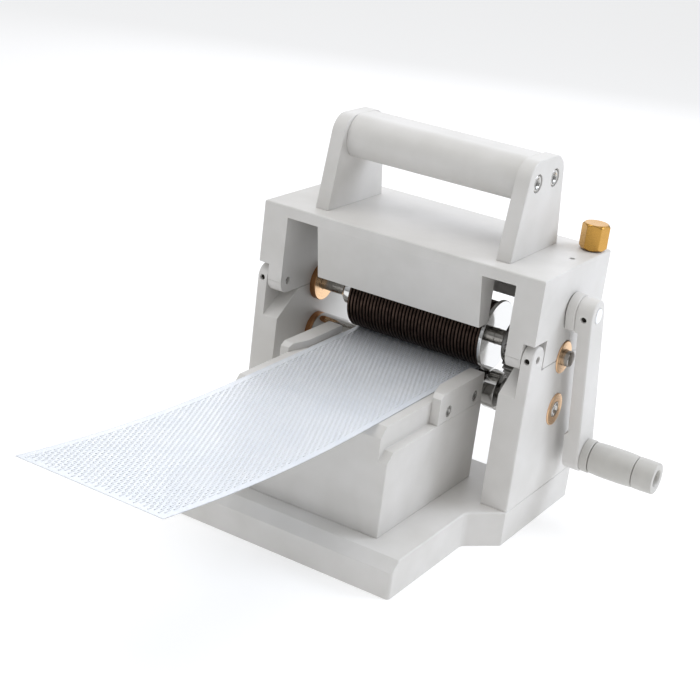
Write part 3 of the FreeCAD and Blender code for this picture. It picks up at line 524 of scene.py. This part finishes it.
handle_steel = turned_metal("stainless_handle_screws", "#C4C3C0", 0.18, Vector((0, bar_y, bar_z)) * mm)
bm = bmesh.new()
for side in (-1, 1):
    for y in (bar_y - bar_screw_gap, bar_y + bar_screw_gap):
        socket_screw(bm, Vector((side * bar_screw_x, y, bar_z)) * mm, X * side, radius=4.25 * mm,
                     length=4.6 * mm, shank=2.5 * mm, reach=13.0 * mm, key=3.9 * mm)
finished(bm, "handle_screws_forged", handle_steel, "head", "screw_steel", "handle_screws")

bm = bmesh.new()
for side in (-1, 1):
    for y in (-16.0, 12.0):
        socket_screw(bm, Vector((side * foot_screw_x, y, foot_screw_z)) * mm, -Z, radius=3.5 * mm,
                     length=4.0 * mm, shank=2.0 * mm, reach=13.1 * mm, key=3.0 * mm)
finished(bm, "handle_foot_screws_forged", screw_steel, "head", "screw_steel", "handle_foot_screws")

# ---- crank -------------------------------------------------------------------------------------
# A steel shaft in a bronze bush drives the pinion. Outside, a coated pad and a milled arm sit on
# its end, held by a black set screw, and a white plastic plug covers the shaft's end.
crank_axis = Vector((0, 0, 119.9)) * mm
crank_turn = Matrix.Rotation(math.radians(13.0), 3, "X")    # the arm rests 13 degrees to the back
bore_radius, axle_radius, journal_radius = 4.05, 3.0, 4.0                       # mm
crank_bush_steps = ((65.0, bore_radius), (65.0, 9.0), (67.0, 9.0), (67.0, 7.0), (82.0, 7.0),
                    (82.0, bore_radius))
crank_shaft_steps = ((54.0, 0), (54.0, axle_radius), (62.6, axle_radius), (62.6, journal_radius),
                     (95.6, journal_radius), (95.6, 0))
clip_steps = ((55.5, axle_radius), (55.5, 4.4), (56.5, 4.4), (56.5, axle_radius))
plug_steps = ((95.6, 0), (95.6, 4.0), (96.6, 4.0), (96.9, 3.6), (96.9, 1.2), (96.7, 0.9), (96.7, 0))
set_screw_x, set_screw_y = 91.9, -7.0
mottle_size = 1.2 * mm


def on_crank(x, y, drop):
    """The place of a point that is drop below the crank's axis on the hanging arm."""
    return crank_axis + crank_turn @ Vector((x, y, -drop)) * mm


crank_steel = turned_metal("ground_crank_shaft", "#B4B1AC", 0.22, crank_axis)
crank_bronze = bearing_bronze("turned_bronze_crank", crank_axis)
bm = bmesh.new()
lathe(bm, crank_bush_steps, crank_axis, X, 64, ring=True)
break_edges(bm, 0.25 * mm)
finished(bm, "crank_bush_turned", crank_bronze, "head", "bearing_bronze", "crank_bush")

bm = bmesh.new()
lathe(bm, crank_shaft_steps, crank_axis, X, 48)
break_edges(bm, 0.3 * mm)
finished(bm, "crank_shaft_ground", crank_steel, "crank", "ground_steel", "crank_shaft")

pinion_steel = turned_metal("hobbed_pinion_steel", "#8F8D8A", 0.30, crank_axis, mark=0.4 * mm)
milled("crank_pinion", pinion_steel, "crank", "gear_steel", tooth_edge)
bm = bmesh.new()
lathe(bm, clip_steps, crank_axis, X, 48, ring=True)
break_edges(bm, 0.15 * mm)
finished(bm, "crank_clip_black", black_steel, "crank", "dark_screw_steel", "crank_shaft_clip")

milled("crank_hub_pad", coated_aluminium, "crank", "coated_aluminium", 0.5 * mm)
milled("crank_arm", coated_aluminium, "crank", "coated_aluminium", 0.4 * mm)

bm = bmesh.new()
grub_screw(bm, on_crank(set_screw_x, set_screw_y, 0), crank_turn @ -Y, radius=1.5 * mm,
           length=3.0 * mm)
finished(bm, "crank_set_screw_black", black_steel, "crank", "dark_screw_steel", "crank_set_screw")

white_plastic, tree, coords = new_material("moulded_white_plastic")
mottle = add(tree, "TexNoise", {"Vector": coords, "Scale": 1 / mottle_size, "Detail": 3.0})
tone = add(tree, "MixRGB", {"Fac": mottle, "Color1": linear("#ECEDEE"), "Color2": linear("#F8F9FA")})
skin = add(tree, "Bump", {"Height": mottle, "Strength": 0.15, "Distance": 0.05 * mm})
nylon = add(tree, "BsdfPrincipled", {"Base Color": tone, "Roughness": 0.35, "Normal": skin, "IOR": 1.53})
add(tree, "OutputMaterial", {"Surface": nylon})
bm = bmesh.new()
lathe(bm, plug_steps, crank_axis, X, 48)
finished(bm, "crank_hub_plug_moulded", white_plastic, "crank", "white_plug", "crank_hub_plug")

# ---- crank grip --------------------------------------------------------------------------------
# Three turned pieces of grey acetal on a steel axle: a collar against the arm, a barrel that spins
# in the hand, and an end cap with a recess. The joints between them show as fine dark lines.
arm_reach = 85.0            # mm from the crank's axis to the grip's
grip_centre = on_crank(0, 0, arm_reach)
grip_mark = 0.5 * mm        # the tool's marks, drawn coarser than they are so that they show
hand_size = 9.0 * mm

grey_acetal, tree, coords = new_material("turned_grey_acetal")
offset = add(tree, "VectorMath", {0: coords, 1: grip_centre}, operation="SUBTRACT")
length = add(tree, "SeparateXYZ", {"Vector": offset}).outputs["X"]
lines = add(tree, "TexNoise", {"W": length, "Scale": 1 / grip_mark, "Detail": 2.0},
            noise_dimensions="1D")
hand = add(tree, "TexNoise", {"Vector": coords, "Scale": 1 / hand_size, "Detail": 4.0})
tone = add(tree, "MixRGB", {"Fac": hand, "Color1": linear("#B9B7B2"), "Color2": linear("#CAC8C3")})
polish = add(tree, "MapRange", {"Value": hand, "To Min": 0.38, "To Max": 0.52})
tool = add(tree, "Bump", {"Height": lines, "Strength": 0.25, "Distance": 0.03 * mm})
acetal = add(tree, "BsdfPrincipled", {"Base Color": tone, "Roughness": polish, "Normal": tool,
                                      "IOR": 1.48})
add(tree, "OutputMaterial", {"Surface": acetal})

grip_parts = (
    ("grip_collar", "crank", 0.6, ((96.4, 3.0), (96.4, 8.9), (101.0, 8.9), (101.0, 3.0))),
    ("grip_barrel", "grip", 0.6, (
        (101.3, 3.05), (101.3, 8.45), (105.0, 8.75), (109.0, 8.9), (118.0, 8.9), (122.0, 8.75),
        (125.6, 8.45), (125.6, 3.05))),
    ("grip_cap", "crank", 0.45, (
        (125.9, 3.0), (125.9, 8.5), (130.0, 8.6), (137.0, 8.4), (137.0, 5.0), (136.2, 4.4),
        (133.6, 4.2), (133.6, 1.5), (133.0, 0.6), (132.0, 0.6), (132.0, 3.0))))
for node, body, edge, steps in grip_parts:
    bm = bmesh.new()
    lathe(bm, steps, grip_centre, X, 72, ring=True)
    break_edges(bm, edge * mm, 3)
    finished(bm, node + "_turned", grey_acetal, body, "grip_plastic", node)

axle_steel = turned_metal("ground_grip_axle", "#B4B1AC", 0.22, grip_centre)
bm = bmesh.new()
lathe(bm, ((88.4, 0), (88.4, axle_radius), (132.0, axle_radius), (132.0, 0)), grip_centre, X, 40)
finished(bm, "grip_axle_ground", axle_steel, "crank", "ground_steel", "grip_axle")

# ---- clamp knobs -------------------------------------------------------------------------------
# Two hexagon brass knobs on threaded shanks, which set how far the head closes. They are turned
# and milled from bar, with chamfered ends, and have fine marks from the cutter.
knob_x, knob_y, knob_z = 75.0, 31.0, 150.0                                      # mm
shank_low, shank_high, shank_radius = 93.7, 152.3, 3.9
thread_top, thread_pitch, thread_core, thread_crest = 141.5, 1.2, 3.5, 4.0
for side, sign in (("left", -1), ("right", 1)):
    place = Vector((sign * knob_x, knob_y, knob_z)) * mm
    brass = turned_metal("milled_brass_" + side, "#C4964C", 0.22, place, Z, mark=0.6 * mm,
                         depth=0.015 * mm)
    milled("knob_" + side, brass, side + "_knob", "knob_brass", 0.3 * mm)
    bm = bmesh.new()
    turns = [(shank_low, 0.0)]
    while turns[-1][0] < thread_top:
        z = turns[-1][0]
        turns += [(z, thread_core), (z + thread_pitch / 2, thread_crest), (z + thread_pitch, thread_core)]
    turns += [(shank_high, shank_radius), (shank_high, 0.0)]
    lathe(bm, turns, Vector((place.x, place.y, 0)), Z, 32)
    finished(bm, f"knob_shank_{side}_threaded", brass, side + "_knob", "knob_brass",
             "knob_shank_" + side)

# ---- carrier sheet -----------------------------------------------------------------------------
# A clear moulded carrier of thin stiff plastic. Rows of short slanted ribs stand on its top and
# look whiter than the web, and its front end curls gently up off the table.
sheet_half, web, rib_height, rib_sunk = 38.0, 0.35, 0.27, 0.02                  # mm
sheet_z, sheet_rear, bend_y, sheet_front, curl_rise = 75.1, 35.0, -118.0, -270.0, 11.0
rib_pitch, rib_width, rib_length, row_pitch, rib_slant = 1.5, 0.55, 4.6, 5.8, math.radians(9)
rib_step = 0.382 * row_pitch    # each column of ribs starts this much further on than the last
rib_crown = (0.45, 0.86, 1)     # a rib's top against its foot, across and along
side_margin, end_margin, first_margin = 5.0, 12.0, 4.0
haze_size, frost_size = 14.0 * mm, 2.0 * mm
run = bend_y - sheet_front
bend_radius = (run * run + curl_rise * curl_rise) / (2 * curl_rise)
curl = math.asin(run / bend_radius)


def laid(flat):
    """Where a point of the flat sheet comes to: straight over the table, then up along the curl."""
    x, y, z = flat
    if y > bend_y:
        return Vector((x, y, sheet_z + z)) * mm
    turn = (bend_y - y) / run * curl
    inner = bend_radius - z
    up = bend_radius - inner * math.cos(turn)
    return Vector((x, bend_y - inner * math.sin(turn), sheet_z + up)) * mm


clear_plastic, tree, coords = new_material("moulded_clear_plastic")
haze = add(tree, "TexNoise", {"Vector": coords, "Scale": 1 / haze_size, "Detail": 3.0})
tone = add(tree, "MixRGB", {"Fac": haze, "Color1": linear("#EAF0F8"), "Color2": linear("#F9FBFE")})
matte = add(tree, "MapRange", {"Value": haze, "To Min": 0.14, "To Max": 0.30})
web_shader = add(tree, "BsdfPrincipled", {"Base Color": tone, "Roughness": matte, "IOR": 1.49,
                                          "Alpha": 0.70})
add(tree, "OutputMaterial", {"Surface": web_shader})
rib_plastic, tree, coords = new_material("moulded_clear_plastic_ribs")
frost = add(tree, "TexNoise", {"Vector": coords, "Scale": 1 / frost_size, "Detail": 2.0})
tone = add(tree, "MixRGB", {"Fac": frost, "Color1": linear("#F2F6F9"), "Color2": linear("#FFFFFF")})
matte = add(tree, "MapRange", {"Value": frost, "To Min": 0.10, "To Max": 0.25})
rib_shader = add(tree, "BsdfPrincipled", {"Base Color": tone, "Roughness": matte, "IOR": 1.49,
                                          "Alpha": 0.85})
add(tree, "OutputMaterial", {"Surface": rib_shader})

bm = bmesh.new()
bmesh.ops.create_grid(bm, x_segments=4, y_segments=76, size=0.5)
bmesh.ops.scale(bm, vec=(2 * sheet_half, sheet_rear - sheet_front, 1), verts=bm.verts)
bmesh.ops.translate(bm, vec=(0, (sheet_rear + sheet_front) / 2, web), verts=bm.verts)
under = bmesh.ops.extrude_face_region(bm, geom=bm.faces[:])["geom"]
bmesh.ops.translate(bm, vec=(0, 0, -web), verts=[v for v in under if isinstance(v, bmesh.types.BMVert)])
bmesh.ops.recalc_face_normals(bm, faces=bm.faces)
columns = int((2 * sheet_half - side_margin) / rib_pitch)
rows = int((sheet_rear - sheet_front - end_margin) / row_pitch)
for column in range(columns):
    rib_x = (column - (columns - 1) / 2) * rib_pitch
    first_y = sheet_front + first_margin + column * rib_step % row_pitch
    for row in range(rows):
        place = (Matrix.Translation((rib_x, first_y + row * row_pitch, web + rib_height / 2 - rib_sunk))
                 @ Matrix.Rotation(rib_slant, 4, "Z"))
        size = Matrix.Diagonal((rib_width, rib_length, rib_height, 1))
        rib = bmesh.ops.create_cube(bm, size=1.0, matrix=place @ size)
        tops = [v for v in rib["verts"] if v.co.z > web + rib_height / 2]
        bmesh.ops.scale(bm, vec=rib_crown, space=place.inverted(), verts=tops)
        for f in {f for v in rib["verts"] for f in v.link_faces}:
            f.material_index = 1
for v in bm.verts:
    v.co = laid(v.co)
sheet = finished(bm, "carrier_sheet_ribbed", clear_plastic, "sheet", "clear_sheet_plastic",
                 "carrier_sheet")
sheet.data.materials.append(rib_plastic)
